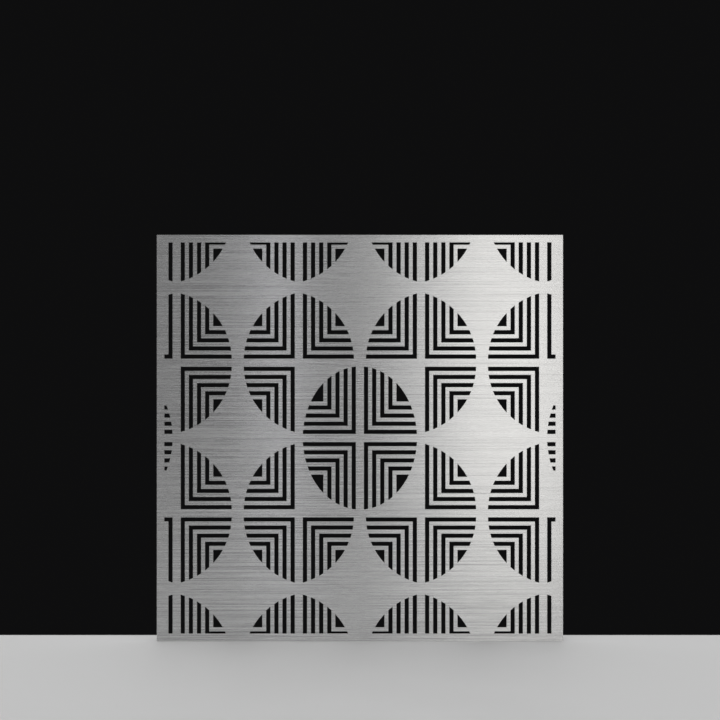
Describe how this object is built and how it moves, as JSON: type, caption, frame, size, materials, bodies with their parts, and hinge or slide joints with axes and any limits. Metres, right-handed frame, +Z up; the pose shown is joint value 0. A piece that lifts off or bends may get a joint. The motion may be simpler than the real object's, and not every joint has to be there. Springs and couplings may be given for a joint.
{
  "type": "laser cut metal screen",
  "caption": "Square decorative screen of brushed stainless sheet, cut with nested angular slots in leaf and oval outlines, on a concealed welded angle frame.",
  "frame": {"origin": "midway between the two bolt holes in the bottom bar of the frame, on the outer face that the bolts pull against (bottom centre of the screen)", "axes": "+X along the screen to the right as seen from its face, +Y from the face towards the back, +Z up"},
  "size_m": [1.2, 0.024, 1.2],
  "materials": {
    "stainless_face": "brushed along the width",
    "foam_tape": "closed-cell foam",
    "frame_coat": "satin powder coat",
    "weld_coat": "powder coat over weld ripples",
    "stud_steel": "rolled thread",
    "washer_steel": "stamped",
    "nut_steel": "cold formed",
    "nylon": "moulded"
  },
  "bodies": {
    "root": {"face_sheet": "stainless_face", "tape_top": "foam_tape", "tape_bottom": "foam_tape", "tape_left": "foam_tape", "tape_right": "foam_tape", "frame_top": "frame_coat", "frame_bottom": "frame_coat", "frame_left": "frame_coat", "frame_right": "frame_coat", "corner_welds": "weld_coat", "weld_studs": "stud_steel", "stud_washers": "washer_steel", "stud_nuts": "nut_steel", "nut_rings": "nylon"}
  },
  "joints": []
}
